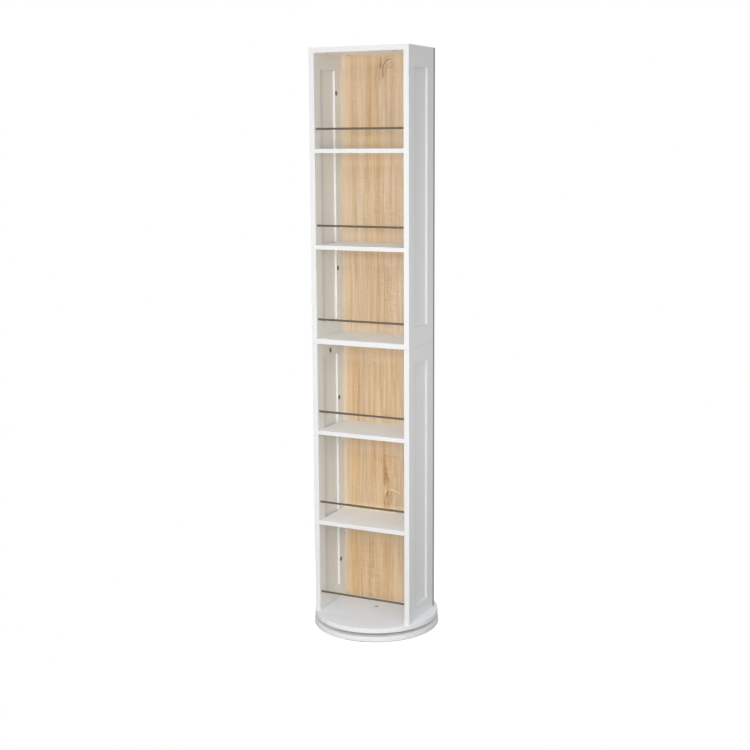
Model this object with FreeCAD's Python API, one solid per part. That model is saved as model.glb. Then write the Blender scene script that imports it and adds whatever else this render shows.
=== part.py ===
import FreeCAD, Part
import os
from math import cos, sin, pi, radians

# Revolving cabinet: a tall, shallow shelf cabinet that stands on a round
# turntable. Shelves with guard rods face the front (-Y); two mirror boards
# close the rear (+Y). Millimetres, +Z up. The origin is on the floor, on the
# axis of rotation. +X is to the right for somebody who faces the shelves.

V = FreeCAD.Vector
os.makedirs("parts", exist_ok=True)

# ---------------------------------------------------------------- dimensions
# turntable
GLIDE_H = 2.0            # felt glides under the base
GLIDE_R = 11.0
GLIDE_RING = 165.0
GLIDE_COUNT = 6
BASE_R = 187.5           # base disc, stands still
BASE_T = 14.0
GAP = 11.0               # between the two discs, filled by the ball bearing
DISC_R = 186.0           # turning disc, carries the cabinet
DISC_T = 14.0

# cabinet body
W = 310.0                # outer width
SIDE_D = 175.0           # depth of the side panels
SIDE_T = 16.0            # thickness of the side frames
AXIS_Y = 102.0           # from the front face to the axis of rotation
BODY_H = 1662.0          # above the turning disc
SEAM_H = 817.0           # where the lower and upper halves meet
BOARD_T = 15.0           # top board and middle shelf
SHELF_T = 12.0           # loose shelves
SHELF_TOPS = {"shelf_lower_1": 282.0, "shelf_lower_2": 557.5,
              "shelf_upper_1": 1105.0, "shelf_upper_2": 1380.0}

# frame-and-panel sides
FRONT_STILE = 39.0
REAR_STILE = 44.0
INFILL_T = 4.0
GROOVE = 5.0             # depth of the groove that holds the infill panel
LOW_RAIL_B, LOW_RAIL_T = 41.0, 47.0     # lower half: bottom and top rail
UP_RAIL_B, UP_RAIL_T = 58.0, 59.0       # upper half: bottom and top rail

# back
BACK_T = 3.0             # oak-faced back panel, in grooves
BACK_Y = 167.0           # its front face, from the front of the cabinet
BACK_GROOVE = 4.0
REAR_T = 10.0            # rear boards that carry the mirrors
MIRROR_T = 3.0
MIRROR_INSET = 3.0

# guard rods
ROD_R = 3.0
ROD_Y = 11.0             # from the front
ROD_UP = 56.0            # above each shelf
ROD_IN = 8.0             # into each side

# fittings
CAM_R, CAM_HOLE_R = 7.4, 7.5
CAM_SET = 34.0           # cam centre to the joined edge
CAM_SET_REAR = 35.0
CAM_SET_SEAM = 31.0
REAR_CAM_Z = {"lower": (121.0, 633.0), "upper": (1027.0, 1540.0)}

# ball bearing
PLATE = 200.0            # square stamped plates
PLATE_T = 1.5
PLATE_HOLE_R = 45.0
RACE_RM = 75.0           # pitch radius of the balls
BALL_R = 3.0
BALL_COUNT = 24
GROOVE_R = 3.3
PLATE_SCREW_R = 124.0    # screws sit on this radius, at the plates' corners

EDGE = 0.8               # softened board edges

Z_BASE = GLIDE_H
Z_GAP = Z_BASE + BASE_T
Z_DISC = Z_GAP + GAP
Z0 = Z_DISC + DISC_T     # cabinet stands here
YF = -AXIS_Y             # front face
YR = YF + SIDE_D         # rear edge of the sides
XO = W / 2.0
XI = XO - SIDE_T
Z_TOP = Z0 + BODY_H
Z_SEAM = Z0 + SEAM_H


# ------------------------------------------------------------------- helpers
def box(x0, x1, y0, y1, z0, z1):
    return Part.makeBox(x1 - x0, y1 - y0, z1 - z0, V(x0, y0, z0))


def cyl(r, h, p, d=(0, 0, 1)):
    return Part.makeCylinder(r, h, V(*p), V(*d))


def fillet(shape, r, test):
    """Round the straight edges for which test(mid point, direction) holds."""
    pick = []
    for e in shape.Edges:
        if len(e.Vertexes) != 2:
            continue
        a, b = e.Vertexes[0].Point, e.Vertexes[1].Point
        m = (a + b) * 0.5
        t = b - a
        if t.Length < 1e-6:
            continue
        t.normalize()
        if test(m, t):
            pick.append(e)
    return shape.makeFillet(r, pick) if pick else shape


def near(a, b):
    return abs(a - b) < 1e-4


def place(shape, origin, zdir, xdir):
    """Move a shape made at the origin so that its Z points along zdir and
    its X along xdir."""
    z = V(*zdir); z.normalize()
    x = V(*xdir); x.normalize()
    y = z.cross(x)
    m = FreeCAD.Matrix(x.x, y.x, z.x, origin[0],
                       x.y, y.y, z.y, origin[1],
                       x.z, y.z, z.z, origin[2],
                       0, 0, 0, 1)
    s = shape.copy()
    s.Placement = FreeCAD.Placement(m)
    return s


def cuts(shape, tools):
    tools = [t for t in tools if t.BoundBox.intersect(shape.BoundBox)]
    return shape.cut(tools) if tools else shape


def solid(shape):
    """The one solid of a boolean result."""
    shape = shape.removeSplitter()
    if shape.ShapeType == "Solid":
        return shape
    if len(shape.Solids) != 1:
        raise ValueError("expected one solid, got %d" % len(shape.Solids))
    return shape.Solids[0]


NODES = {}


def node(name, shape):
    if not shape.isValid():
        raise ValueError(name + " is not valid")
    NODES[name] = shape


def group(name, shapes):
    NODES[name] = Part.makeCompound([solid(s) for s in shapes])


# ------------------------------------------------------------------ fittings
CAM_H = 11.5


def cam_body():
    """Cam lock: its slotted face is at z = 0, it reaches down into the
    board, and the bolt comes in along +X."""
    def make(depth):
        c = cyl(CAM_R, CAM_H, (0, 0, -CAM_H))
        pocket = Part.makeCylinder(3.4, CAM_R + 3.0, V(-1.6, 0, -depth), V(1, 0, 0))
        slot_a = box(-4.6, 4.6, -0.7, 0.7, -1.8, 0.1)
        slot_b = box(-0.7, 0.7, -4.6, 4.6, -1.8, 0.1)
        rim = cyl(CAM_R + 1, 0.8, (0, 0, -0.8)).cut(cyl(CAM_R - 0.6, 0.8, (0, 0, -0.8)))
        return c.cut([pocket, slot_a, slot_b, rim])
    return make


make_cam = cam_body()


def cam_bolt(length, thread):
    """Bolt along +X: head in the cam, waist, shank, thread past `length`."""
    head = Part.makeCylinder(3.1, 2.2, V(-1.0, 0, 0), V(1, 0, 0))
    waist = Part.makeCylinder(1.9, 6.2, V(1.2, 0, 0), V(1, 0, 0))
    shank = Part.makeCylinder(3.1, length - 7.4, V(7.4, 0, 0), V(1, 0, 0))
    core = Part.makeCylinder(2.4, thread, V(length, 0, 0), V(1, 0, 0))
    s = head.fuse([waist, shank, core])
    # thread ridges
    n = int((thread - 1.0) / 2.0)
    ridges = [Part.makeCone(2.3, 3.0, 0.8, V(length + 0.6 + 2.0 * i, 0, 0), V(1, 0, 0)).fuse(
              Part.makeCone(3.0, 2.3, 0.8, V(length + 1.4 + 2.0 * i, 0, 0), V(1, 0, 0)))
              for i in range(n)]
    return s.fuse(ridges)


CAMS, BOLTS, HOLES = [], [], []


def add_cam(p, face, along, set_back, depth, thread, board_t):
    """One cam lock and its bolt. p is the centre of the cam's face, `face`
    the board face's outward normal, `along` the way to the joined edge."""
    axis_p = V(*p) - V(*face) * depth
    CAMS.append(place(make_cam(depth), p, face, along))
    BOLTS.append(place(cam_bolt(set_back, thread),
                       (axis_p.x, axis_p.y, axis_p.z), face, along))
    HOLES.append(place(cyl(CAM_HOLE_R, 12.5 if board_t > 15.5 else 12.0,
                           (0, 0, -(12.5 if board_t > 15.5 else 12.0))), p, face, along))
    bore = Part.makeCylinder(3.3, set_back, V(0, 0, 0), V(1, 0, 0)).fuse(
        Part.makeCylinder(3.05, thread + 0.6, V(set_back, 0, 0), V(1, 0, 0)))
    HOLES.append(place(bore, (axis_p.x, axis_p.y, axis_p.z), face, along))


DOWELS = []


def add_dowel(p, d, r, a, b):
    """Grooved dowel through p along d, from -a to +b."""
    dv = V(*d)
    st = V(*p) - dv * a
    body = Part.makeCylinder(r, a + b, st, dv)
    ends = [e for e in body.Edges if e.Curve.TypeId == "Part::GeomCircle"]
    body = body.makeChamfer(0.8, ends)
    DOWELS.append(body)
    HOLES.append(Part.makeCylinder(r + 0.08, a + b + 1.0, V(*p) - dv * (a + 0.5), dv))


def csk_screw(p, d, r, length, head_r, head_h):
    """Countersunk screw: head face at p, pointing along d, with a cross recess."""
    dv = V(*d)
    head = Part.makeCone(head_r, r, head_h, V(*p), dv)
    shank = Part.makeCylinder(r, length - head_h - 4.0, V(*p) + dv * head_h, dv)
    tip = Part.makeCone(r, 0.6, 4.0, V(*p) + dv * (length - 4.0), dv)
    s = head.fuse([shank, tip])
    side = (1, 0, 0) if abs(d[0]) < 0.5 else (0, 1, 0)
    rec = box(-2.0, 2.0, -0.45, 0.45, -0.1, 1.4).fuse(box(-0.45, 0.45, -2.0, 2.0, -0.1, 1.4))
    return s.cut(place(rec, p, d, side))


def pan_screw(p, d, r, length, head_r, head_h):
    """Pan-head screw: seat of the head at p, pointing along d."""
    dv = V(*d)
    head = Part.makeCylinder(head_r, head_h, V(*p) - dv * head_h, dv)
    top = [e for e in head.Edges if e.Curve.TypeId == "Part::GeomCircle"
           and (e.Curve.Center - (V(*p) - dv * head_h)).Length < 1e-6]
    head = head.makeFillet(1.0, top)
    shank = Part.makeCylinder(r, length - 3.0, V(*p), dv)
    tip = Part.makeCone(r, 0.5, 3.0, V(*p) + dv * (length - 3.0), dv)
    s = head.fuse([shank, tip])
    rec = box(-1.9, 1.9, -0.45, 0.45, -0.1, 1.3).fuse(box(-0.45, 0.45, -1.9, 1.9, -0.1, 1.3))
    q = V(*p) - dv * head_h
    return s.cut(place(rec, (q.x, q.y, q.z), d, (1, 0, 0)))


# cams in the rear stiles pull the rear boards on
for sx in (-1, 1):
    for half in ("lower", "upper"):
        for h in REAR_CAM_Z[half]:
            add_cam((sx * XI, YR - CAM_SET_REAR, Z0 + h), (-sx, 0, 0), (0, 1, 0),
                    CAM_SET_REAR, SIDE_T / 2, 8.4, SIDE_T)
    # one cam a side pulls the upper half down on the lower half
    add_cam((sx * XI, YF + 85.0, Z_SEAM - CAM_SET_SEAM), (-sx, 0, 0), (0, 0, 1),
            CAM_SET_SEAM, SIDE_T / 2, 12.4, SIDE_T)
    # cams under the top board and the middle shelf
    for zu in (Z_TOP - BOARD_T, Z_SEAM):
        for y in (YF + 17.0, YF + 153.0):
            add_cam((sx * (XI - CAM_SET), y, zu), (0, 0, -1), (sx, 0, 0),
                    CAM_SET, BOARD_T / 2, 10.4, BOARD_T)

# dowels: shelves into the stiles, upper stiles onto the lower ones
for sx in (-1, 1):
    for top in SHELF_TOPS.values():
        zc = Z0 + top - SHELF_T / 2
        for y in (YF + 24.0, YF + 150.0):
            add_dowel((sx * XI, y, zc), (sx, 0, 0), 3.0, 19.0, 11.0)
    for y in (YF + 29.0, YF + 142.0):
        add_dowel((sx * (XO - SIDE_T / 2), y, Z_SEAM), (0, 0, 1), 4.0, 15.0, 15.0)

# screws from under the turning disc into the stiles' ends
SIDE_SCREWS, SCREW_HOLES = [], []
for sx in (-1, 1):
    for y in (YF + 20.0, YF + 153.0):
        p = (sx * (XO - SIDE_T / 2), y, Z_DISC)
        SIDE_SCREWS.append(csk_screw(p, (0, 0, 1), 2.4, 48.0, 4.8, 3.0))
        SCREW_HOLES.append(Part.makeCone(4.9, 2.5, 3.0, V(*p), V(0, 0, 1)).fuse(
            cyl(2.5, 48.5, p)))
HOLES += SCREW_HOLES

# guard rods run into blind holes in the front stiles
ROD_LEVELS = [0.0, SHELF_TOPS["shelf_lower_1"], SHELF_TOPS["shelf_lower_2"],
              SEAM_H + BOARD_T, SHELF_TOPS["shelf_upper_1"], SHELF_TOPS["shelf_upper_2"]]
for i, lv in enumerate(ROD_LEVELS):
    zc = Z0 + lv + ROD_UP + (2.0 if i == 0 else 0.0)
    rod = cyl(ROD_R, 2 * (XI + ROD_IN), (-(XI + ROD_IN), YF + ROD_Y, zc), (1, 0, 0))
    rod = rod.makeChamfer(0.5, [e for e in rod.Edges if e.Curve.TypeId == "Part::GeomCircle"])
    node("guard_rod_%d" % (i + 1), rod)
    HOLES.append(cyl(ROD_R + 0.12, 2 * (XI + ROD_IN + 0.5),
                     (-(XI + ROD_IN + 0.5), YF + ROD_Y, zc), (1, 0, 0)))

# ---------------------------------------------------------------- side frames
YS = YF + FRONT_STILE            # end of the front stile
YT = YR - REAR_STILE             # start of the rear stile
GX0, GX1 = XO - SIDE_T / 2 - INFILL_T / 2, XO - SIDE_T / 2 + INFILL_T / 2


def mirror_x(shape, sx):
    return shape if sx > 0 else shape.mirror(V(0, 0, 0), V(1, 0, 0))


def side_half(half, side, sx, z0, z1, rail_b, rail_t):
    """Stiles, rails and infill of one half of one side."""
    name = side + "_" + half + "_"
    seam = z1 if half == "lower" else z0

    # front stile, grooved along its rear edge
    s = box(XI, XO, YF, YS, z0, z1)
    s = fillet(s, EDGE, lambda m, t: (abs(t.z) > 0.9 and near(m.y, YF)))
    s = fillet(s, 0.4, lambda m, t: abs(t.z) < 0.5 and near(m.z, seam) and
               (near(m.x, XO) or near(m.y, YF)))
    s = s.cut(box(GX0, GX1, YS - GROOVE, YS + 1, z0 - 1, z1 + 1))
    front = mirror_x(s, sx)

    # rear stile, grooved along its front edge, and for the back panel
    s = box(XI, XO, YT, YR, z0, z1)
    s = fillet(s, 0.4, lambda m, t: abs(t.z) < 0.5 and near(m.z, seam) and near(m.x, XO))
    s = s.cut(box(GX0, GX1, YT - 1, YT + GROOVE, z0 - 1, z1 + 1))
    ztop = z1 + 1 if half == "lower" else z1 - BOARD_T + 5.0
    s = s.cut(box(XI - 1, XI + BACK_GROOVE, YF + BACK_Y, YF + BACK_Y + BACK_T, z0 - 1, ztop))
    rear = mirror_x(s, sx)

    # rails, tongued into both stiles and grooved for the infill
    def rail(a, b, inner_top):
        r = box(XI, XO, YS, YT, a, b)
        if near(b, seam) or near(a, seam):
            r = fillet(r, 0.4, lambda m, t: abs(t.y) > 0.9 and near(m.z, seam) and near(m.x, XO))
        r = r.fuse([box(GX0, GX1, YS - GROOVE + 0.2, YS, a, b),
                    box(GX0, GX1, YT, YT + GROOVE - 0.2, a, b)])
        if inner_top:
            g = box(GX0, GX1, YS - GROOVE - 1, YT + GROOVE + 1, b - GROOVE, b + 1)
        else:
            g = box(GX0, GX1, YS - GROOVE - 1, YT + GROOVE + 1, a - 1, a + GROOVE)
        return mirror_x(r.cut(g), sx)

    low = rail(z0, z0 + rail_b, True)
    top = rail(z1 - rail_t, z1, False)

    gap = 0.2
    inf = mirror_x(box(GX0, GX1, YS - GROOVE + gap, YT + GROOVE - gap,
                       z0 + rail_b - GROOVE + gap, z1 - rail_t + GROOVE - gap), sx)

    node(name + "front_stile", solid(cuts(front, HOLES)))
    node(name + "rear_stile", solid(cuts(rear, HOLES)))
    node(name + "bottom_rail", solid(cuts(low, HOLES)))
    node(name + "top_rail", solid(cuts(top, HOLES)))
    node(name + "infill", solid(cuts(inf, HOLES)))


for side, sx in (("left", -1), ("right", 1)):
    side_half("lower", side, sx, Z0, Z_SEAM, LOW_RAIL_B, LOW_RAIL_T)
    side_half("upper", side, sx, Z_SEAM, Z_TOP, UP_RAIL_B, UP_RAIL_T)

# -------------------------------------------------------------------- boards
front_long = lambda m, t: abs(t.x) > 0.9 and near(m.y, YF)

# top board, between the sides, grooved for the back panel
top = box(-XI, XI, YF, YR, Z_TOP - BOARD_T, Z_TOP)
top = fillet(top, EDGE, front_long)
top = top.cut(box(-XI - 1, XI + 1, YF + BACK_Y, YF + BACK_Y + BACK_T,
                  Z_TOP - BOARD_T - 1, Z_TOP - BOARD_T + 5.0))
node("top_board", solid(cuts(top, HOLES)))

mid = fillet(box(-XI, XI, YF, YF + BACK_Y, Z_SEAM, Z_SEAM + BOARD_T), EDGE, front_long)
node("middle_shelf", solid(cuts(mid, HOLES)))

for name, h in SHELF_TOPS.items():
    s = fillet(box(-XI, XI, YF, YF + BACK_Y, Z0 + h - SHELF_T, Z0 + h), EDGE, front_long)
    node(name, solid(cuts(s, HOLES)))

# oak-faced back panels, in the grooves of the rear stiles and the top board
bx = XI + BACK_GROOVE - 0.5
node("back_panel_lower", box(-bx, bx, YF + BACK_Y, YF + BACK_Y + BACK_T, Z0, Z_SEAM))
node("back_panel_upper", box(-bx, bx, YF + BACK_Y, YF + BACK_Y + BACK_T,
                             Z_SEAM, Z_TOP - BOARD_T + 4.5))

# rear boards, one per half, over the full width, each with its mirror
for half, z0, z1 in (("lower", Z0, Z_SEAM), ("upper", Z_SEAM, Z_TOP)):
    b = box(-XO, XO, YR, YR + REAR_T, z0, z1)
    b = fillet(b, 0.6, lambda m, t: near(m.y, YR + REAR_T))
    node("rear_board_" + half, solid(cuts(b, HOLES)))
    g = box(-XO + MIRROR_INSET, XO - MIRROR_INSET, YR + REAR_T, YR + REAR_T + MIRROR_T,
            z0 + MIRROR_INSET, z1 - MIRROR_INSET)
    g = g.makeChamfer(0.5, [e for e in g.Edges
                            if abs(e.Vertexes[0].Point.y - (YR + REAR_T + MIRROR_T)) < 1e-4
                            and abs(e.Vertexes[1].Point.y - (YR + REAR_T + MIRROR_T)) < 1e-4])
    node("mirror_" + half, g)

# ------------------------------------------------------------------ turntable
# square plates, turned 45 degrees to each other, so each one's corner
# screws can be reached past the other
def plate(z, turned):
    h = PLATE / 2
    p = box(-h, h, -h, h, z, z + PLATE_T)
    p = p.makeFillet(14.0, [e for e in p.Edges if
                            abs(e.Vertexes[0].Point.z - e.Vertexes[1].Point.z) > 1.0])
    if turned:
        p.rotate(V(0, 0, 0), V(0, 0, 1), 45)
    return p


def corner_points(offset_deg):
    return [(PLATE_SCREW_R * cos(radians(offset_deg + 90 * k)),
             PLATE_SCREW_R * sin(radians(offset_deg + 90 * k))) for k in range(4)]


Z_BALL = Z_GAP + GAP / 2
ball_track = Part.makeTorus(RACE_RM, GROOVE_R, V(0, 0, Z_BALL))
LOW_PTS = corner_points(45)
UP_PTS = corner_points(0)


def ring(r0, r1, z0, z1):
    return cyl(r1, z1 - z0, (0, 0, z0)).cut(cyl(r0, z1 - z0 + 2, (0, 0, z0 - 1)))


lower_plate = plate(Z_GAP, False).fuse(ring(RACE_RM - 7, RACE_RM + 7, Z_GAP, Z_GAP + 4.0))
lower_plate = lower_plate.cut([cyl(PLATE_HOLE_R, 10, (0, 0, Z_GAP - 2)), ball_track] +
                              [cyl(2.2, 6, (x, y, Z_GAP - 2)) for x, y in LOW_PTS])
node("bearing_lower_plate", solid(lower_plate))

upper_plate = plate(Z_DISC - PLATE_T, True).fuse(
    ring(RACE_RM - 7, RACE_RM + 7, Z_DISC - 4.0, Z_DISC))
upper_plate = upper_plate.cut([cyl(PLATE_HOLE_R, 10, (0, 0, Z_DISC - 8)), ball_track] +
                              [cyl(2.2, 6, (x, y, Z_DISC - 4)) for x, y in UP_PTS])
node("bearing_upper_plate", solid(upper_plate))

balls, pockets = [], []
for k in range(BALL_COUNT):
    a = 2 * pi * (k + 0.5) / BALL_COUNT
    c = V(RACE_RM * cos(a), RACE_RM * sin(a), Z_BALL)
    balls.append(Part.makeSphere(BALL_R, c))
    pockets.append(cyl(BALL_R + 0.25, 4, (c.x, c.y, Z_BALL - 2)))
node("ball_cage", solid(ring(RACE_RM - 5.5, RACE_RM + 5.5, Z_BALL - 0.6, Z_BALL + 0.6).cut(pockets)))
NODES["bearing_balls"] = Part.makeCompound(balls)

group("bearing_lower_screws",
      [pan_screw((x, y, Z_GAP + PLATE_T), (0, 0, -1), 2.0, 12.5, 4.0, 2.4) for x, y in LOW_PTS])
group("bearing_upper_screws",
      [pan_screw((x, y, Z_DISC - PLATE_T), (0, 0, 1), 2.0, 12.5, 4.0, 2.4) for x, y in UP_PTS])

# pivot: hex bolt up through both discs, nut and washer in a counterbore
# on the turning disc, a nylon bush as the bearing surface, a cap on top
Z_CB = Z0 - 8.0
head = Part.makePolygon([V(5.77 * cos(pi / 3 * k), 5.77 * sin(pi / 3 * k), Z_BASE + 1.0)
                         for k in range(7)])
head = Part.Face(head).extrude(V(0, 0, 4.0))
shank = cyl(3.0, 31.0 + 1.5, (0, 0, Z_BASE + 5.0))
shank = shank.makeChamfer(0.5, [e for e in shank.Edges if e.Curve.TypeId == "Part::GeomCircle"
                                and e.Curve.Center.z > Z_BASE + 30])
node("pivot_bolt", solid(head.fuse(shank)))
nut = Part.makePolygon([V(5.77 * cos(pi / 3 * k), 5.77 * sin(pi / 3 * k), Z_CB + 1.2)
                        for k in range(7)])
nut = Part.Face(nut).extrude(V(0, 0, 4.4)).cut(cyl(3.0, 10, (0, 0, Z_CB)))
node("pivot_nut", solid(nut))
node("pivot_washer", solid(ring(3.2, 6.1, Z_CB + 0.2, Z_CB + 1.2)))
node("pivot_bush", solid(ring(3.08, 4.6, Z_DISC + 0.3, Z_CB)))

cap = cyl(7.0, 1.4, (0, 0, Z0))
cap = cap.makeFillet(1.1, [e for e in cap.Edges if e.Curve.TypeId == "Part::GeomCircle"
                           and e.Curve.Center.z > Z0 + 1.0])
cap = cap.fuse(ring(5.6, 6.3, Z0 - 2.0, Z0))
node("pivot_cap", solid(cap))

base = cyl(BASE_R, BASE_T, (0, 0, Z_BASE))
base = base.makeFillet(1.0, [e for e in base.Edges if e.Curve.TypeId == "Part::GeomCircle"])
base = base.cut([cyl(3.1, 30, (0, 0, 0)), cyl(6.6, 5.0, (0, 0, Z_BASE)),
                 cyl(7.0, 30, (0, -PLATE_SCREW_R, 0))] +
                [cyl(2.05, 11.5, (x, y, Z_GAP - 11.5)) for x, y in LOW_PTS])
node("base_disc", solid(base))

disc = cyl(DISC_R, DISC_T, (0, 0, Z_DISC))
disc = disc.makeFillet(1.0, [e for e in disc.Edges if e.Curve.TypeId == "Part::GeomCircle"])
disc = disc.cut([cyl(4.65, 30, (0, 0, Z_DISC - 1)), cyl(6.5, 20, (0, 0, Z_CB))] +
                [cyl(2.05, 11.5, (x, y, Z_DISC)) for x, y in UP_PTS] + SCREW_HOLES)
node("turntable_disc", solid(disc))

glides = []
for k in range(GLIDE_COUNT):
    a = 2 * pi * (k + 0.5) / GLIDE_COUNT
    g = cyl(GLIDE_R, GLIDE_H, (GLIDE_RING * cos(a), GLIDE_RING * sin(a), 0))
    glides.append(g.makeFillet(0.4, [e for e in g.Edges if e.Curve.TypeId == "Part::GeomCircle"
                                     and e.Curve.Center.z < 0.1]))
group("floor_glides", glides)

# ------------------------------------------------------------ fastener groups
group("cam_locks", CAMS)
group("cam_bolts", BOLTS)
group("dowels", DOWELS)
group("side_screws", SIDE_SCREWS)

for name, shape in NODES.items():
    shape.exportStep("parts/%s.step" % name)
print(len(NODES), "nodes")
for name, shape in sorted(NODES.items()):
    b = shape.BoundBox
    print("%-28s solids %2d  vol %10.1f  x %.1f..%.1f y %.1f..%.1f z %.1f..%.1f" % (
        name, len(shape.Solids), shape.Volume, b.XMin, b.XMax, b.YMin, b.YMax, b.ZMin, b.ZMax))
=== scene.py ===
import math

import bpy
from mathutils import Matrix, Vector

# Revolving shelf cabinet. The CAD frame gives every piece its shape and its
# place; this script gives each one its finish, and adds the studio.
# Blender works in metres here; the materials work in millimetres, in the same
# frame: origin on the floor on the axis of rotation, shelves facing -Y.

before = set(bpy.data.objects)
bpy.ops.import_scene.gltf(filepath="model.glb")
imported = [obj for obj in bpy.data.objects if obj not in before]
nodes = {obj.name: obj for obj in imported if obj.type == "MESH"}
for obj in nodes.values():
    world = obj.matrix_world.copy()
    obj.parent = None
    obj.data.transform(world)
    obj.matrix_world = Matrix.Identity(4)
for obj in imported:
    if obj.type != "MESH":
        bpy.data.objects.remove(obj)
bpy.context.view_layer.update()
scene = bpy.context.scene

Z_SEAM = 858.0          # where the lower and upper halves meet
Y_FRONT = -102.0        # front face
Y_FOLD = -63.0          # rear edge of the front stiles


# ------------------------------------------------------------------ node kit
class Mat:
    """A node material being built. Arguments are numbers or sockets."""

    def __init__(self, name):
        self.mat = bpy.data.materials.new(name)
        self.mat.use_nodes = True
        self.nt = self.mat.node_tree
        self.nt.nodes.clear()
        tc = self.add("ShaderNodeTexCoord")
        self.p = self.v("MULTIPLY", tc.outputs["Object"], (1000.0, 1000.0, 1000.0))
        self.x, self.y, self.z = self.split(self.p)
        self.nx, self.ny, self.nz = self.split(tc.outputs["Normal"])

    def add(self, kind):
        return self.nt.nodes.new(kind)

    def put(self, socket, value):
        if isinstance(value, bpy.types.NodeSocket):
            self.nt.links.new(value, socket)
        elif isinstance(value, (tuple, list)) and socket.type == "RGBA":
            socket.default_value = tuple(value)[:3] + (1.0,)
        else:
            socket.default_value = value

    def split(self, vector):
        n = self.add("ShaderNodeSeparateXYZ")
        self.put(n.inputs[0], vector)
        return n.outputs[0], n.outputs[1], n.outputs[2]

    def join(self, x, y, z):
        n = self.add("ShaderNodeCombineXYZ")
        for i, a in enumerate((x, y, z)):
            self.put(n.inputs[i], a)
        return n.outputs[0]

    def f(self, op, a, b=None, c=None, clamp=False):
        n = self.add("ShaderNodeMath")
        n.operation = op
        n.use_clamp = clamp
        for i, a_ in enumerate((a, b, c)):
            if a_ is not None:
                self.put(n.inputs[i], a_)
        return n.outputs[0]

    def v(self, op, a, b=None, c=None):
        n = self.add("ShaderNodeVectorMath")
        n.operation = op
        for i, a_ in enumerate((a, b, c)):
            if a_ is not None:
                self.put(n.inputs[i], a_)
        return n.outputs["Vector"]

    def tint(self, colour, factor):
        """A colour times a number."""
        n = self.add("ShaderNodeVectorMath")
        n.operation = "SCALE"
        self.put(n.inputs[0], colour)
        self.put(n.inputs["Scale"], factor)
        return n.outputs["Vector"]

    def sum(self, *terms):
        out = terms[0]
        for t in terms[1:]:
            out = self.f("ADD", out, t)
        return out

    def prod(self, *terms):
        out = terms[0]
        for t in terms[1:]:
            out = self.f("MULTIPLY", out, t)
        return out

    def lin(self, a, gain, offset):
        return self.f("MULTIPLY_ADD", a, gain, offset)

    def step(self, a, lo, hi, low=0.0, high=1.0):
        """Smooth change from low to high as a goes from lo to hi."""
        n = self.add("ShaderNodeMapRange")
        n.interpolation_type = "SMOOTHSTEP"
        self.put(n.inputs["Value"], a)
        n.inputs["From Min"].default_value = lo
        n.inputs["From Max"].default_value = hi
        n.inputs["To Min"].default_value = low
        n.inputs["To Max"].default_value = high
        return n.outputs["Result"]

    def bell(self, a, centre, half):
        """1 at centre, 0 from half away on either side."""
        d = self.f("ABSOLUTE", self.f("SUBTRACT", a, centre))
        return self.step(d, 0.0, half, 1.0, 0.0)

    def noise(self, freq, detail=2.0, rough=0.5, seed=0.0, warp=0.0, at=None):
        """Noise of the frequencies freq per millimetre along X, Y and Z."""
        n = self.add("ShaderNodeTexNoise")
        n.inputs["Scale"].default_value = 1.0
        n.inputs["Detail"].default_value = detail
        n.inputs["Roughness"].default_value = rough
        n.inputs["Distortion"].default_value = warp
        vec = self.v("MULTIPLY_ADD", self.p if at is None else at, tuple(freq),
                     (seed * 3.7, seed * 1.9, seed * 5.3))
        self.put(n.inputs["Vector"], vec)
        return n.outputs[0]

    def noise1(self, w, detail=2.0, rough=0.5):
        n = self.add("ShaderNodeTexNoise")
        n.noise_dimensions = "1D"
        n.inputs["Scale"].default_value = 1.0
        n.inputs["Detail"].default_value = detail
        n.inputs["Roughness"].default_value = rough
        self.put(n.inputs["W"], w)
        return n.outputs[0]

    def cells(self, freq, seed=0.0, feature="F1"):
        n = self.add("ShaderNodeTexVoronoi")
        n.feature = feature
        n.inputs["Scale"].default_value = 1.0
        vec = self.v("MULTIPLY_ADD", self.p, tuple(freq),
                     (seed * 3.7, seed * 1.9, seed * 5.3))
        self.put(n.inputs["Vector"], vec)
        return n

    def ramp(self, a, stops, mode="LINEAR"):
        """Colour or value along stops: (position 0..1, value or colour)."""
        n = self.add("ShaderNodeValToRGB")
        n.color_ramp.interpolation = mode
        el = n.color_ramp.elements
        while len(el) < len(stops):
            el.new(0.5)
        for e, (pos, c) in zip(el, stops):
            e.position = pos
        for e, (pos, c) in zip(el, stops):
            e.color = (c, c, c, 1.0) if isinstance(c, (int, float)) else tuple(c) + (1.0,)
        self.put(n.inputs[0], a)
        return n.outputs[0]

    def mixc(self, fac, a, b, blend="MIX"):
        n = self.add("ShaderNodeMix")
        n.data_type = "RGBA"
        n.blend_type = blend
        self.put(n.inputs[0], fac)
        self.put(n.inputs[6], a)
        self.put(n.inputs[7], b)
        return n.outputs[2]

    def mixf(self, fac, a, b):
        n = self.add("ShaderNodeMix")
        n.data_type = "FLOAT"
        self.put(n.inputs[0], fac)
        self.put(n.inputs[2], a)
        self.put(n.inputs[3], b)
        return n.outputs[0]

    def bump(self, height_mm, strength=1.0, normal=None):
        n = self.add("ShaderNodeBump")
        n.inputs["Strength"].default_value = strength
        n.inputs["Distance"].default_value = 0.001
        self.put(n.inputs["Height"], height_mm)
        if normal is not None:
            self.put(n.inputs["Normal"], normal)
        return n.outputs[0]

    def finish(self, base, rough, normal=None, metallic=0.0, **fixed):
        b = self.add("ShaderNodeBsdfPrincipled")
        self.put(b.inputs["Base Color"], base)
        self.put(b.inputs["Roughness"], rough)
        self.put(b.inputs["Metallic"], metallic)
        if normal is not None:
            self.put(b.inputs["Normal"], normal)
        for name, value in fixed.items():
            b.inputs[name.replace("_", " ")].default_value = value
        out = self.add("ShaderNodeOutputMaterial")
        self.nt.links.new(b.outputs[0], out.inputs["Surface"])
        return self.mat


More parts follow.
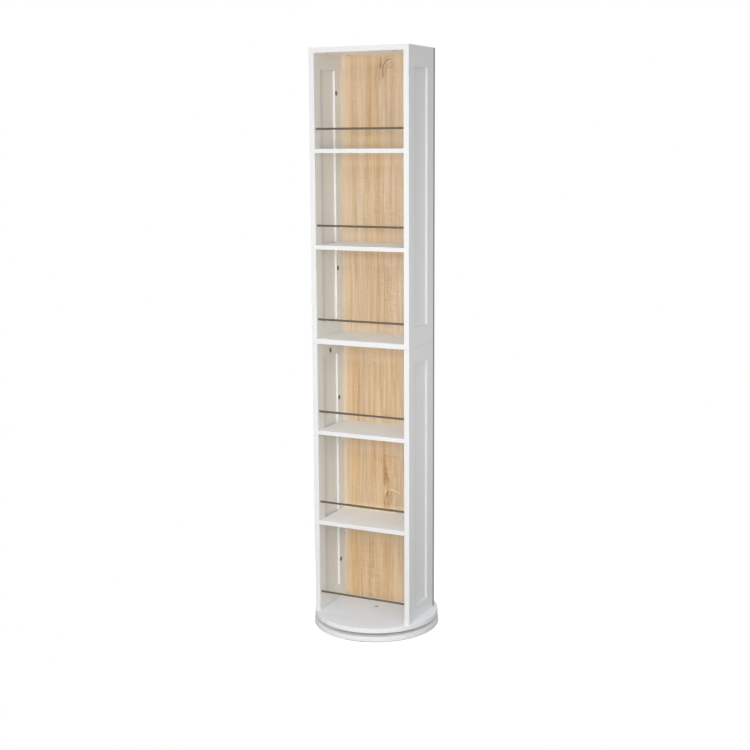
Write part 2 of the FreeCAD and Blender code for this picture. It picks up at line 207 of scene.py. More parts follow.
# ----------------------------------------------------------------- materials
def foil_terms(m, axis):
    """Faint printed and embossed grain of the white foil, running along axis."""
    k = [0.17, 0.17, 0.17]
    k[axis] = 0.0032
    streak = m.noise(k, detail=5.0, rough=0.62, seed=1.0)
    k = [1.1, 1.1, 1.1]
    k[axis] = 0.03
    pore = m.step(m.noise(k, detail=2.0, rough=0.6, seed=4.0), 0.56, 0.72)
    cloud = m.noise((0.009, 0.009, 0.009), detail=2.0, seed=2.0)
    fine = m.noise((2.2, 2.2, 2.2), detail=2.0, rough=0.6, seed=8.0)
    return streak, pore, cloud, fine


def white_board(name, axis, colour, seam=0.0, recess_shade=0.0, under=0.0, over=None):
    """White foil on chipboard; the front edges carry a 1 mm ABS band, a
    little smoother and brighter than the foil, with a fine glue line. seam
    darkens the hairline joint between the lower and the upper half. fold is
    painted shade in the corner of an infill panel behind its front stile, more
    on the inside. under warms the underside towards the oak, a painted
    reflection of the oak, and over is the colour of a shelf's upper face,
    lighter than the foil: painted light. The recess walls that face the front
    are painted lighter, a painted highlight, and the outer faces of the sides
    a tenth darker, painted shade."""
    m = Mat(name)
    streak, pore, cloud, fine = foil_terms(m, axis)
    shade = m.sum(1.0, m.lin(streak, 0.085, -0.0425), m.lin(pore, -0.028, 0.0),
                  m.lin(cloud, 0.03, -0.015))
    facing = m.step(m.f("MULTIPLY", m.ny, -1.0), 0.72, 0.97)
    edge = m.prod(facing, m.f("LESS_THAN", m.y, Y_FRONT + 2.5))
    recess_wall_highlight = m.f("SUBTRACT", facing, edge)      # recess walls facing the front, painted lighter: painted highlight
    glue = m.prod(m.bell(m.y, Y_FRONT + 1.05, 0.22), m.lin(edge, -1.0, 1.0))
    shade = m.mixf(edge, shade, m.lin(cloud, 0.012, 0.994))
    shade = m.f("MULTIPLY", shade, m.lin(glue, -0.10, 1.0))
    if seam:
        shade = m.f("MULTIPLY", shade, m.lin(m.bell(m.z, Z_SEAM, 0.5), -seam, 1.0))
    # painted shade: the infill is darkened towards the corner behind its front stile, more on the inside
    if recess_shade:
        corner = m.bell(m.y, Y_FOLD, 42.0)
        inside = m.step(m.f("ABSOLUTE", m.x), 146.0, 148.0, 1.0, 0.35)
        shade = m.f("MULTIPLY", shade, m.lin(m.prod(corner, inside), -recess_shade, 1.0))
    outer = m.step(m.f("ABSOLUTE", m.x), 146.5, 147.5)      # outer faces of the sides, painted a tenth darker by dim: painted shade
    base = m.mixc(recess_wall_highlight, colour, (0.895, 0.897, 0.895))
    dim = m.lin(outer, -0.10, 1.0)
    base = m.v("MULTIPLY", base, m.join(dim, dim, dim))
    base = m.mixc(edge, base, (0.735, 0.735, 0.734))
    # painted reflection: the undersides are warmed towards the oak that they face
    if under:
        below = m.step(m.nz, -0.9, -0.5, under, 0.0)
        base = m.mixc(below, base, (0.960, 0.880, 0.770))
    # painted light: the shelves' upper faces get a lighter colour than the foil
    if over:
        above = m.prod(m.step(m.nz, 0.5, 0.9), m.f("LESS_THAN", m.z, 1690.0))
        base = m.mixc(above, base, over)
    base = m.v("MULTIPLY", base, m.join(shade, shade, shade))
    rough = m.mixf(edge, m.sum(0.43, m.lin(streak, 0.10, -0.05), m.lin(pore, 0.08, 0.0)),
                   m.lin(fine, 0.06, 0.31))
    height = m.mixf(edge, m.sum(m.lin(pore, -0.018, 0.0), m.lin(streak, 0.010, 0.0),
                                m.lin(fine, 0.004, 0.0)), m.lin(fine, 0.003, 0.0))
    return m.finish(base, rough, m.bump(height, 0.6), Specular_IOR_Level=0.45)


def white_disc(name, radius, colour, floor=None):
    """The discs: the same foil above and below, and an ABS band round the rim.
    floor is a lighter colour for the top face between the sides: painted light."""
    m = Mat(name)
    streak, pore, cloud, fine = foil_terms(m, 0)
    r = m.f("SQRT", m.sum(m.prod(m.x, m.x), m.prod(m.y, m.y)))
    flat = m.step(m.f("ABSOLUTE", m.nz), 0.45, 0.9)
    shade = m.sum(1.0, m.lin(streak, 0.085, -0.0425), m.lin(pore, -0.028, 0.0),
                  m.lin(cloud, 0.03, -0.015))
    glue = m.prod(m.bell(r, radius - 1.15, 0.25), flat)
    shade = m.mixf(flat, m.lin(cloud, 0.014, 1.008), shade)
    shade = m.f("MULTIPLY", shade, m.lin(glue, -0.10, 1.0))
    top = colour
    # painted light: the top face between the sides is given a lighter colour
    if floor:
        between = m.prod(m.step(m.f("ABSOLUTE", m.x), 137.0, 141.0, 1.0, 0.0),
                         m.step(m.y, -130.0, -85.0))
        top = m.mixc(between, colour, floor)
    base = m.v("MULTIPLY", m.mixc(flat, (0.776, 0.780, 0.784), top),
               m.join(shade, shade, shade))
    rough = m.mixf(flat, m.lin(fine, 0.06, 0.31),
                   m.sum(0.43, m.lin(streak, 0.10, -0.05), m.lin(pore, 0.08, 0.0)))
    height = m.mixf(flat, m.lin(fine, 0.003, 0.0),
                    m.sum(m.lin(pore, -0.018, 0.0), m.lin(streak, 0.010, 0.0),
                          m.lin(fine, 0.004, 0.0)))
    return m.finish(base, rough, m.bump(height, 0.6), Specular_IOR_Level=0.45)


def oak(name, cast, crisp, planks, knots, arches, bands, zones, sawn, splits, curls,
        strokes):
    """Light sawn oak decor on the back panel, grain along Z. All in mm.

    cast:    warmth of the whole panel
    crisp:   strength of the finest streaks
    planks:  (left edge, tone), from left to right; each has its own figure
    knots:   (x, z, half width, half height, push, depth); the grain swings
             round them by push
    arches:  (x, z, length, width, half width, half height, strength) of the
             cathedral figure; a negative length turns it upside down
    bands:   (x, half width, tone, warmth, z from, z to) long streaks
    zones:   (z from, z to, tone, warmth) across the whole width; painted light: most lighten the oak just above the shelves and just under them, and one darkens the bottom of the lower panel, painted shade
    sawn:    (x, z, half width, half height, strength) patches of saw marks
    splits:  (x, reach, z from, z to, depth) dark on a line along the grain,
             fading out to its right
    curls:   (x, z, radius, half width, z from, z to, depth) lines that run up
             at x - radius and turn over to the right above z
    strokes: (x0, z0, x1, z1, half width, tone) single straight marks
    """
    m = Mat(name)

    def blob(cx, cz, hw, hh):
        dx = m.lin(m.x, 1.0 / hw, -cx / hw)
        dz = m.lin(m.z, 1.0 / hh, -cz / hh)
        return dx, dz, m.f("EXPONENT", m.lin(m.sum(m.prod(dx, dx), m.prod(dz, dz)), -1.0, 0.0))

    def stretch(z0, z1, soft=26.0):
        return m.f("MULTIPLY", m.step(m.z, z0 - soft, z0 + soft),
                   m.step(m.z, z1 - soft, z1 + soft, 1.0, 0.0))

    # the grain wanders a little, and swings round the knots
    drift = m.noise((0.006, 0.0, 0.0017), detail=2.0, rough=0.5, seed=1.0)
    curl = m.noise((0.030, 0.0, 0.0065), detail=2.0, rough=0.5, seed=2.0)
    gx = m.sum(m.x, m.lin(drift, 12.0, -6.0), m.lin(curl, 3.4, -1.7))
    for kx, kz, hw, hh, push, depth in knots:
        dx, dz, e = blob(kx, kz, hw * 1.5, hh * 1.5)
        gx = m.f("SUBTRACT", gx, m.prod(dx, e, push))

    shift = tone = None
    for k, (left, plank_tone) in enumerate(planks):
        if shift is None:
            shift, tone = m.lin(m.x, 0.0, 0.0), m.lin(m.x, 0.0, plank_tone)
        else:
            on = m.f("GREATER_THAN", m.x, left)
            shift, tone = m.mixf(on, shift, 173.0 * k), m.mixf(on, tone, plank_tone)
    at = m.join(m.f("ADD", gx, shift), 0.0, m.z)

    broad = m.noise((0.034, 0.0, 0.0008), detail=2.0, rough=0.5, seed=3.0, at=at)
    middle = m.noise((0.105, 0.0, 0.0030), detail=2.0, rough=0.55, seed=4.0, at=at)
    fine = m.noise((0.34, 0.0, 0.0085), detail=2.0, rough=0.6, seed=5.0, at=at)
    fibre = m.noise((0.80, 0.0, 0.022), detail=4.0, rough=0.65, seed=6.0, at=at)
    fleck = m.step(m.noise((1.5, 0.0, 0.055), detail=2.0, rough=0.6, seed=7.0, at=at), 0.57, 0.70)
    lime = m.step(m.noise((0.30, 0.0, 0.007), detail=3.0, rough=0.6, seed=9.0, at=at), 0.54, 0.72)
    cloud = m.noise((0.010, 0.0, 0.0035), detail=2.0, seed=8.0)

    # saw marks: short strokes across the grain, everywhere a little, in
    # patches more
    level = m.sum(m.z, m.lin(m.x, 0.11, 0.0),
                  m.lin(m.noise((0.02, 0.0, 0.03), detail=2.0, seed=12.0), 9.0, 0.0))
    dash = m.noise((0.050, 0.0, 0.205), detail=2.0, rough=0.6, seed=14.0,
                   at=m.join(gx, 0.0, level))
    wave = m.f("SINE", m.sum(m.lin(level, 0.92, 0.0),
                             m.lin(m.noise((0.030, 0.0, 0.045), detail=2.0, seed=18.0), 7.0, 0.0)))
    weave = m.lin(m.noise((0.24, 0.0, 0.02), detail=2.0, rough=0.5, seed=16.0, at=at), 2.2, -0.2)
    patch = m.step(m.noise((0.016, 0.0, 0.009), detail=2.0, rough=0.6, seed=13.0),
                   0.50, 0.70, 0.22, 0.62)
    for sx, sz, hw, hh, st in sawn:
        patch = m.f("MAXIMUM", patch, m.lin(blob(sx, sz, hw, hh)[2], st, 0.0))
    marks = m.prod(m.sum(m.lin(dash, 1.7, -0.85), m.lin(m.prod(wave, patch), 0.22, 0.0)),
                   patch, weave)

    shade = m.sum(tone, m.lin(broad, 0.46, -0.23), m.lin(middle, 0.44, -0.22),
                  m.lin(fine, 0.56 * crisp, -0.28 * crisp),
                  m.lin(fibre, 0.30 * crisp, -0.15 * crisp),
                  m.lin(fleck, -0.05, 0.0), m.lin(lime, 0.11, -0.02),
                  m.lin(cloud, 0.10, -0.05), m.lin(marks, 0.34, 0.0))
    warm = m.lin(m.noise((0.045, 0.0, 0.0010), detail=2.0, seed=15.0, at=at), 3.6, -1.8 + cast)
    for bx, half, amount, heat, z0, z1 in bands:
        band = m.f("MULTIPLY", m.bell(gx, bx, half), stretch(z0, z1))
        shade = m.sum(shade, m.lin(band, amount, 0.0))
        warm = m.sum(warm, m.lin(band, heat, 0.0))
    # painted light: bands across the panel, lighter just above the shelves and just under them, darker at the
    # bottom
    for z0, z1, amount, heat in zones:
        zone = stretch(z0, z1, 12.0)
        shade = m.sum(shade, m.lin(zone, amount, 0.0))
        warm = m.sum(warm, m.lin(zone, heat, 0.0))
    for ax, az, length, width, hw, hh, st in arches:
        dx = m.lin(gx, 1.0 / width, -ax / width)
        ring = m.sum(m.prod(dx, dx), m.lin(m.z, 1.0 / length, -az / length))
        figure = m.noise1(m.lin(ring, 1.0, 20.0), detail=3.0, rough=0.6)
        figure = m.prod(m.lin(figure, 2.0, -1.0), blob(ax, az, hw, hh)[2])
        shade = m.sum(shade, m.lin(figure, st, 0.0))
        warm = m.sum(warm, m.lin(figure, -1.2, 0.0))
    for kx, kz, hw, hh, push, depth in knots:
        dx, dz, e = blob(kx, kz, hw, hh)
        core = m.f("EXPONENT", m.lin(m.sum(m.prod(dx, dx), m.prod(dz, dz)), -5.0, 0.0))
        shade = m.sum(shade, m.lin(core, -depth, 0.0))
        warm = m.sum(warm, m.lin(e, 0.5, 0.0))
    ragged = m.noise((0.05, 0.0, 0.06), detail=3.0, rough=0.6, seed=17.0)
    for sx, reach, z0, z1, depth in splits:
        away = m.f("SUBTRACT", m.x, sx)
        line = m.prod(m.step(away, 0.0, reach, 1.0, 0.0), m.f("GREATER_THAN", away, 0.0),
                      stretch(z0, z1, 14.0), m.lin(ragged, 1.4, 0.3))
        shade = m.sum(shade, m.lin(line, -depth, 0.0))
    for cx, cz, radius, half, z0, z1, depth in curls:
        dx = m.f("SUBTRACT", m.x, cx)
        dz = m.f("MAXIMUM", m.f("SUBTRACT", m.z, cz), 0.0)
        r = m.sum(m.f("SQRT", m.sum(m.prod(dx, dx), m.prod(dz, dz))), m.lin(ragged, 3.0, -1.5))
        line = m.prod(m.bell(r, radius, half), m.step(m.x, cx - 4.0, cx + 8.0, 1.0, 0.0),
                      stretch(z0, z1, 12.0), m.lin(ragged, 1.4, 0.3))
        shade = m.sum(shade, m.lin(line, -depth, 0.0))
        warm = m.sum(warm, m.lin(line, 4.0 * depth, 0.0))
    for x0, z0, x1, z1, half, amount in strokes:
        size = math.hypot(x1 - x0, z1 - z0)
        ux, uz = (x1 - x0) / size, (z1 - z0) / size
        along = m.sum(m.lin(m.x, ux, -x0 * ux - z0 * uz), m.lin(m.z, uz, 0.0))
        across = m.sum(m.lin(m.x, -uz, x0 * uz - z0 * ux), m.lin(m.z, ux, 0.0),
                       m.lin(ragged, 4.0, -2.0))
        line = m.prod(m.bell(across, 0.0, half), m.step(along, -6.0, 4.0),
                      m.step(along, size - 6.0, size + 6.0, 1.0, 0.0))
        shade = m.sum(shade, m.lin(line, amount, 0.0))

    base = m.ramp(m.lin(shade, 1.0, -0.5), [
        (0.0, (0.33, 0.205, 0.115)), (0.25, (0.54, 0.375, 0.225)),
        (0.50, (0.72, 0.540, 0.362)), (0.75, (0.83, 0.665, 0.490)),
        (1.0, (0.90, 0.775, 0.640))])
    base = m.v("MULTIPLY", base, m.join(m.lin(warm, 0.018, 0.85), m.lin(warm, -0.018, 0.845),
                                        m.lin(warm, -0.08, 0.83)))
    rough = m.sum(0.50, m.lin(fibre, 0.12, -0.06), m.lin(fleck, 0.10, 0.0))
    height = m.sum(m.lin(fleck, -0.035, 0.0), m.lin(fibre, 0.02, 0.0),
                   m.lin(marks, 0.04, 0.0))
    return m.finish(base, rough, m.bump(height, 0.7), Specular_IOR_Level=0.4)


def dark_board(name):
    """Rear boards: dark grey foil with a slight fibre, raw-looking edges."""
    m = Mat(name)
    fibre = m.noise((0.5, 0.5, 0.03), detail=4.0, rough=0.65, seed=2.0)
    grit = m.noise((1.6, 1.6, 1.6), detail=3.0, rough=0.7, seed=5.0)
    cloud = m.noise((0.01, 0.01, 0.01), detail=2.0, seed=1.0)
    shade = m.sum(1.0, m.lin(fibre, 0.30, -0.15), m.lin(grit, 0.30, -0.15),
                  m.lin(cloud, 0.16, -0.08))
    rough = m.sum(0.55, m.lin(grit, 0.16, -0.08))
    height = m.sum(m.lin(grit, 0.03, 0.0), m.lin(fibre, 0.02, 0.0))
    return m.finish(m.tint((0.200, 0.203, 0.178), shade), rough, m.bump(height, 0.6))


def mirror(name):
    """Silvered glass seen from the front; the ground edge shows the glass."""
    m = Mat(name)
    face = m.step(m.ny, 0.80, 0.985)
    smear = m.noise((0.012, 0.012, 0.006), detail=4.0, rough=0.6, seed=3.0, warp=0.6)
    wipe = m.noise((0.05, 0.05, 0.004), detail=3.0, rough=0.6, seed=6.0)
    dust = m.step(m.noise((0.9, 0.9, 0.9), detail=2.0, rough=0.7, seed=9.0), 0.66, 0.80)
    base = m.mixc(face, (0.30, 0.42, 0.36), m.tint((0.905, 0.925, 0.915),
                                                  m.sum(1.0, m.lin(smear, 0.02, -0.01),
                                                        m.lin(dust, -0.03, 0.0))))
    rough = m.mixf(face, 0.12, m.sum(0.012, m.lin(m.prod(smear, wipe), 0.06, 0.0),
                                     m.lin(dust, 0.05, 0.0)))
    wave = m.noise((0.004, 0.004, 0.004), detail=1.0, seed=4.0)
    return m.finish(base, rough, m.bump(m.lin(wave, 0.02, 0.0), 0.3),
                    m.mixf(face, 0.35, 1.0))


def metal(name, colour, rough, axis=None, grain=0.10, spread=0.10, marks=0.0):
    """Metal with a drawn or cast surface; axis is the way the drawing runs."""
    m = Mat(name)
    k = [1.6, 1.6, 1.6]
    if axis is not None:
        k[axis] = 0.03
    line = m.noise(k, detail=3.0, rough=0.6, seed=2.0)
    cloud = m.noise((0.05, 0.05, 0.05), detail=3.0, rough=0.6, seed=5.0)
    shade = m.sum(1.0, m.lin(line, grain * 2, -grain), m.lin(cloud, spread * 2, -spread))
    if marks:
        cell = m.cells((0.22, 0.22, 0.22), seed=3.0)
        shade = m.sum(shade, m.lin(m.split(cell.outputs["Color"])[0], marks, -marks / 2))
    r = m.sum(rough, m.lin(line, 0.14, -0.07), m.lin(cloud, 0.12, -0.06))
    return m.finish(m.tint(colour, shade), r, m.bump(m.lin(line, 0.006, 0.0), 0.5), 1.0)


def zinc_cam(name):
    """Die-cast cam: grainy grey face."""
    m = Mat(name)
    grit = m.noise((1.1, 1.1, 1.1), detail=4.0, rough=0.7, seed=1.0)
    cloud = m.noise((0.2, 0.2, 0.2), detail=2.0, seed=3.0)
    shade = m.sum(1.0, m.lin(grit, 0.5, -0.25), m.lin(cloud, 0.3, -0.15))
    return m.finish(m.tint((0.235, 0.232, 0.222), shade),
                    m.sum(0.44, m.lin(grit, 0.2, -0.1)),
                    m.bump(m.lin(grit, 0.05, 0.0), 0.6), 0.75)


def plastic(name, colour, rough, freq=0.9, vary=0.03, **fixed):
    m = Mat(name)
    grain = m.noise((freq, freq, freq), detail=3.0, rough=0.6, seed=2.0)
    cloud = m.noise((0.05, 0.05, 0.05), detail=2.0, seed=4.0)
    shade = m.sum(1.0, m.lin(grain, vary * 2, -vary), m.lin(cloud, vary * 2, -vary))
    return m.finish(m.tint(colour, shade), m.sum(rough, m.lin(grain, 0.10, -0.05)),
                    m.bump(m.lin(grain, 0.02, 0.0), 0.5), **fixed)


def felt(name):
    m = Mat(name)
    fuzz = m.noise((1.9, 1.9, 1.9), detail=5.0, rough=0.75, seed=1.0, warp=0.8)
    hair = m.noise((0.6, 3.2, 3.2), detail=3.0, rough=0.7, seed=5.0, warp=1.2)
    shade = m.sum(1.0, m.lin(fuzz, 0.8, -0.4), m.lin(hair, 0.5, -0.25))
    return m.finish(m.tint((0.16, 0.155, 0.15), shade), 0.95,
                    m.bump(m.sum(m.lin(fuzz, 0.25, 0.0), m.lin(hair, 0.15, 0.0)), 0.8),
                    Sheen_Weight=0.3, Sheen_Roughness=0.5)


def beech(name):
    """Grooved beech dowels."""
    m = Mat(name)
    fleck = m.step(m.noise((0.9, 0.9, 0.35), detail=2.0, rough=0.6, seed=2.0), 0.56, 0.68)
    fibre = m.noise((0.8, 0.8, 0.8), detail=4.0, rough=0.6, seed=3.0)
    shade = m.sum(1.0, m.lin(fibre, 0.24, -0.12), m.lin(fleck, -0.18, 0.0))
    return m.finish(m.tint((0.62, 0.43, 0.26), shade), m.sum(0.6, m.lin(fibre, 0.1, -0.05)),
                    m.bump(m.lin(fibre, 0.05, 0.0), 0.6))


# The horizontal boards take a lighter, cooler copy of the white foil than the upright parts: painted light.
foil_x = white_board("white_foil_across", 0, (0.890, 0.903, 0.930), under=0.75,
                     over=(0.925, 0.955, 0.985))
foil_y = white_board("white_foil_deep", 1, (0.808, 0.822, 0.807), 0.45)
foil_z = white_board("white_foil_upright", 2, (0.808, 0.822, 0.807), 0.45)
foil_infill = white_board("white_foil_infill", 2, (0.808, 0.822, 0.807), 0.0, 0.20)

oak_upper = oak(
    "oak_decor_upper", 0.25, 1.0,
    planks=[(-200, 1.01), (-14, 0.985), (96, 1.01)],
    knots=[(98, 1330, 16, 30, 9, 0.12)],
    arches=[(22, 1010, -90, 26, 34, 95, 0.18), (-70, 1180, 150, 30, 40, 140, 0.10),
            (112, 1100, 130, 24, 40, 160, 0.22)],
    bands=[(-134, 32, 0.16, -0.4, 858, 1692), (-14, 62, -0.11, 0.2, 858, 1692),
           (60, 60, 0.05, 0.0, 858, 1692), (-113, 9, 0.07, 0.9, 1440, 1692),
           (-89, 2.6, -0.06, 0.6, 1150, 1692), (-70, 18, 0.0, -0.9, 1120, 1692),
           (-42, 13, -0.06, 1.0, 1450, 1692), (-10, 13, -0.07, 0.9, 1150, 1400),
           (-93, 8, -0.10, 0.6, 858, 1110), (-101, 1.8, -0.10, 0.2, 858, 1110),
           (-55, 7, -0.05, 0.6, 858, 1110), (-17, 9, -0.06, 1.0, 858, 1110),
           (-138, 15, 0.10, -0.8, 858, 1110), (-138, 12, 0.05, -0.6, 1110, 1692),
           (-116, 22, 0.06, 0.3, 858, 1710), (-66, 20, -0.05, 0.2, 858, 1692),
           (-24, 15, -0.07, 0.0, 858, 1692), (15, 14, 0.05, -0.1, 858, 1692),
           (-128, 12, 0.13, -0.1, 1648, 1700), (34, 12, 0.10, -0.1, 1644, 1700),
           (32, 11, 0.09, -0.3, 1240, 1360)],
    zones=[(1662, 1710, 0.13, 0.4), (1408, 1456, 0.22, 0.9), (1372, 1410, 0.14, 0.6),
           (1120, 1174, 0.24, 0.6), (1078, 1104, 0.07, 0.0), (858, 896, 0.24, -0.2)],
    sawn=[(24, 1656, 16, 16, 1.4), (30, 1010, 45, 90, 0.75), (35, 1250, 50, 110, 0.5), (-60, 1300, 50, 60, 0.5),
          (-60, 1455, 60, 30, 0.6)],
    splits=[(-14, 2.5, 858, 1560, 0.06)],
    curls=[(24, 1650, 25, 4.6, 1624, 1690, 0.42), (24, 1650, 34, 6.0, 1610, 1684, 0.16),
           (26, 1646, 18, 3.0, 1626, 1690, 0.22), (28, 1652, 12, 2.0, 1640, 1690, -0.08)],
    strokes=[(7, 1600, 7.5, 1580, 1.8, 0.10), (-8, 1684, -9.5, 1650, 6.0, -0.32),
             (-3, 1061, 6, 994, 2.2, 0.07),
             (2, 1061, 11, 994, 2.0, -0.07), (14, 1040, 20, 985, 2.0, -0.05)])
oak_lower = oak(
    "oak_decor_lower", 0.9, 1.25,
    planks=[(-200, 1.02), (-4, 1.01), (96, 1.03)],
    knots=[(13, 398, 13, 11, 5, 0.20), (118, 640, 15, 28, 9, 0.12)],
    arches=[(-8, 735, 120, 24, 36, 80, 0.20), (-50, 420, 160, 30, 40, 120, 0.08),
            (120, 240, 140, 26, 40, 160, 0.20)],
    bands=[(-134, 32, 0.18, -0.4, 41, 858), (-28, 44, -0.06, 0.1, 320, 858),
           (-70, 50, 0.06, 0.0, 41, 310), (40, 40, -0.05, 0.0, 320, 560), (-95, 17, -0.07, 1.0, 590, 858),
           (-88, 1.8, -0.05, 0.3, 590, 858), (38, 12, -0.05, 1.2, 590, 858),
           (-107, 12, 0.02, 0.5, 320, 590), (-88, 3.0, -0.07, 0.3, 320, 590),
           (-27, 2.4, 0.10, 0.0, 320, 590), (28, 30, 0.04, 0.3, 400, 590),
           (-104, 24, -0.05, 0.5, 41, 310), (-80, 2.2, -0.12, 0.3, 41, 310),
           (13, 15, -0.07, 0.5, 41, 310), (48, 14, 0.03, -0.3, 41, 310),
           (-40, 170, 0.0, 0.6, 41, 600),
           (-52, 22, 0.02, -0.4, 41, 310), (-138, 16, 0.18, -0.6, 41, 858),
           (-116, 24, 0.08, 0.0, 41, 858), (-68, 18, -0.05, 0.0, 590, 858),
           (15, 14, 0.05, 0.0, 41, 858), (-24, 12, -0.06, -0.2, 41, 200),
           (-130, 12, 0.11, 0.0, 790, 850), (-128, 12, 0.11, 0.1, 215, 300),
           (-106, 10, 0.10, -0.3, 170, 260)],
    zones=[(786, 860, 0.10, -0.2), (226, 300, 0.10, -0.1), (586, 614, 0.10, -1.4), (506, 570, 0.11, -0.5),
           (344, 400, 0.0, -0.7), (310, 340, 0.22, -0.7), (30, 56, -0.08, -0.5)],
    sawn=[(-42, 120, 44, 95, 0.85), (26, 480, 42, 80, 0.9), (-32, 796, 26, 22, 1.0),
          (26, 720, 50, 60, 0.4)],
    splits=[(-4, 26, 406, 640, 0.17), (-4, 22, 404, 468, 0.13), (-4, 4.0, 345, 560, 0.13),
            (-4, 2.0, 60, 850, 0.07)],
    curls=[(70, 350, 70, 4.0, 322, 390, 0.44), (70, 350, 63, 3.0, 322, 388, 0.34),
           (70, 350, 57, 3.0, 344, 386, 0.28), (70, 350, 50, 2.4, 356, 382, 0.18)],
    strokes=[(12, 397, 50, 385, 4.0, 0.40), (26, 390, 42, 385, 3.0, -0.30),
             (2, 444, 14, 418, 8.0, -0.20), (10, 416, 44, 398, 3.5, -0.10),
             (2, 404, 10, 372, 4.0, -0.14)])

rear_dark = dark_board("dark_rear_board")
silver = mirror("mirror_silvered")
rod_metal = metal("rod_dark_nickel", (0.228, 0.190, 0.145), 0.30, axis=0)
cam_metal = zinc_cam("cam_die_cast")
screw_metal = metal("zinc_plated", (0.62, 0.63, 0.64), 0.30, grain=0.06)
plate_metal = metal("galvanised_plate", (0.56, 0.575, 0.585), 0.36, grain=0.05,
                    spread=0.08, marks=0.22)
ball_metal = metal("bearing_balls_chrome", (0.74, 0.74, 0.75), 0.10, grain=0.02, spread=0.03)
nylon = plastic("nylon_natural", (0.80, 0.785, 0.73), 0.42)
cap_plastic = plastic("cap_beige", (0.52, 0.50, 0.465), 0.38, Specular_IOR_Level=0.5)
glide_felt = felt("felt_grey")
dowel_beech = beech("beech_dowel")
disc_top = white_disc("white_turning_disc", 186.0, (0.780, 0.808, 0.850),
                      floor=(0.838, 0.890, 0.960))
disc_base = white_disc("white_base_disc", 187.5, (0.860, 0.862, 0.864))


def material_of(name):
    if name.startswith("back_panel"):
        return oak_upper if name.endswith("upper") else oak_lower
    if name.startswith("rear_board"):
        return rear_dark
    if name.startswith("mirror"):
        return silver
    if name.startswith("guard_rod"):
        return rod_metal
    if name.startswith(("left_", "right_")):
        if name.endswith("infill"):
            return foil_infill
        return foil_y if name.endswith("rail") else foil_z
    if name.startswith("shelf_") or name in ("top_board", "middle_shelf"):
        return foil_x
    return {
        "turntable_disc": disc_top, "base_disc": disc_base,
        "cam_locks": cam_metal, "cam_bolts": screw_metal, "side_screws": screw_metal,
        "bearing_lower_screws": screw_metal, "bearing_upper_screws": screw_metal,
        "pivot_bolt": screw_metal, "pivot_nut": screw_metal, "pivot_washer": screw_metal,
        "bearing_lower_plate": plate_metal, "bearing_upper_plate": plate_metal,
        "bearing_balls": ball_metal, "ball_cage": nylon, "pivot_bush": nylon,
        "pivot_cap": cap_plastic, "floor_glides": glide_felt, "dowels": dowel_beech,
    }[name]


for name, o in sorted(nodes.items()):
    mat = material_of(name)
    for s in o.material_slots:
        s.material = mat

# -------------------------------------------------------------------- studio
scene.view_settings.view_transform = "Standard"
scene.view_settings.look = "None"
scene.view_settings.exposure = 0.0
scene.view_settings.gamma = 1.0

world = bpy.data.worlds.new("studio")
scene.world = world
world.use_nodes = True
wt = world.node_tree
wt.nodes.clear()
path = wt.nodes.new("ShaderNodeLightPath")
coord = wt.nodes.new("ShaderNodeTexCoord")
sep = wt.nodes.new("ShaderNodeSeparateXYZ")
wt.links.new(coord.outputs["Generated"], sep.inputs[0])
sky = wt.nodes.new("ShaderNodeValToRGB")
sky.color_ramp.elements[0].position = 0.0
sky.color_ramp.elements[0].color = (0.25, 0.25, 0.25, 1.0)
sky.color_ramp.elements[1].position = 1.0
sky.color_ramp.elements[1].color = (0.76, 0.76, 0.76, 1.0)
wt.links.new(sep.outputs[2], sky.inputs[0])
dim = wt.nodes.new("ShaderNodeBackground")
wt.links.new(sky.outputs[0], dim.inputs["Color"])
pale = wt.nodes.new("ShaderNodeBackground")     # what a mirror shows of the room
pale.inputs["Color"].default_value = (0.66, 0.665, 0.67, 1.0)
mixg = wt.nodes.new("ShaderNodeMixShader")
wt.links.new(path.outputs["Is Glossy Ray"], mixg.inputs[0])
wt.links.new(dim.outputs[0], mixg.inputs[1])
wt.links.new(pale.outputs[0], mixg.inputs[2])
seen = wt.nodes.new("ShaderNodeBackground")
seen.inputs["Color"].default_value = (1.0, 1.0, 1.0, 1.0)
mixs = wt.nodes.new("ShaderNodeMixShader")
wt.links.new(path.outputs["Is Camera Ray"], mixs.inputs[0])
wt.links.new(mixg.outputs[0], mixs.inputs[1])
wt.links.new(seen.outputs[0], mixs.inputs[2])
wout = wt.nodes.new("ShaderNodeOutputWorld")
wt.links.new(mixs.outputs[0], wout.inputs["Surface"])

# plain pale floor: a wide disc that fades into the white background
ring_n = 96
floor_mesh = bpy.data.meshes.new("studio_floor")
floor_mesh.from_pydata(
    [(9.0 * math.cos(2 * math.pi * k / ring_n), 9.0 * math.sin(2 * math.pi * k / ring_n), -0.0004)
     for k in range(ring_n)], [], [list(range(ring_n))])
floor = bpy.data.objects.new("studio_floor", floor_mesh)
scene.collection.objects.link(floor)
fm = bpy.data.materials.new("studio_floor")
fm.use_nodes = True
ft = fm.node_tree
ft.nodes.clear()


def fnode(kind):
    return ft.nodes.new(kind)


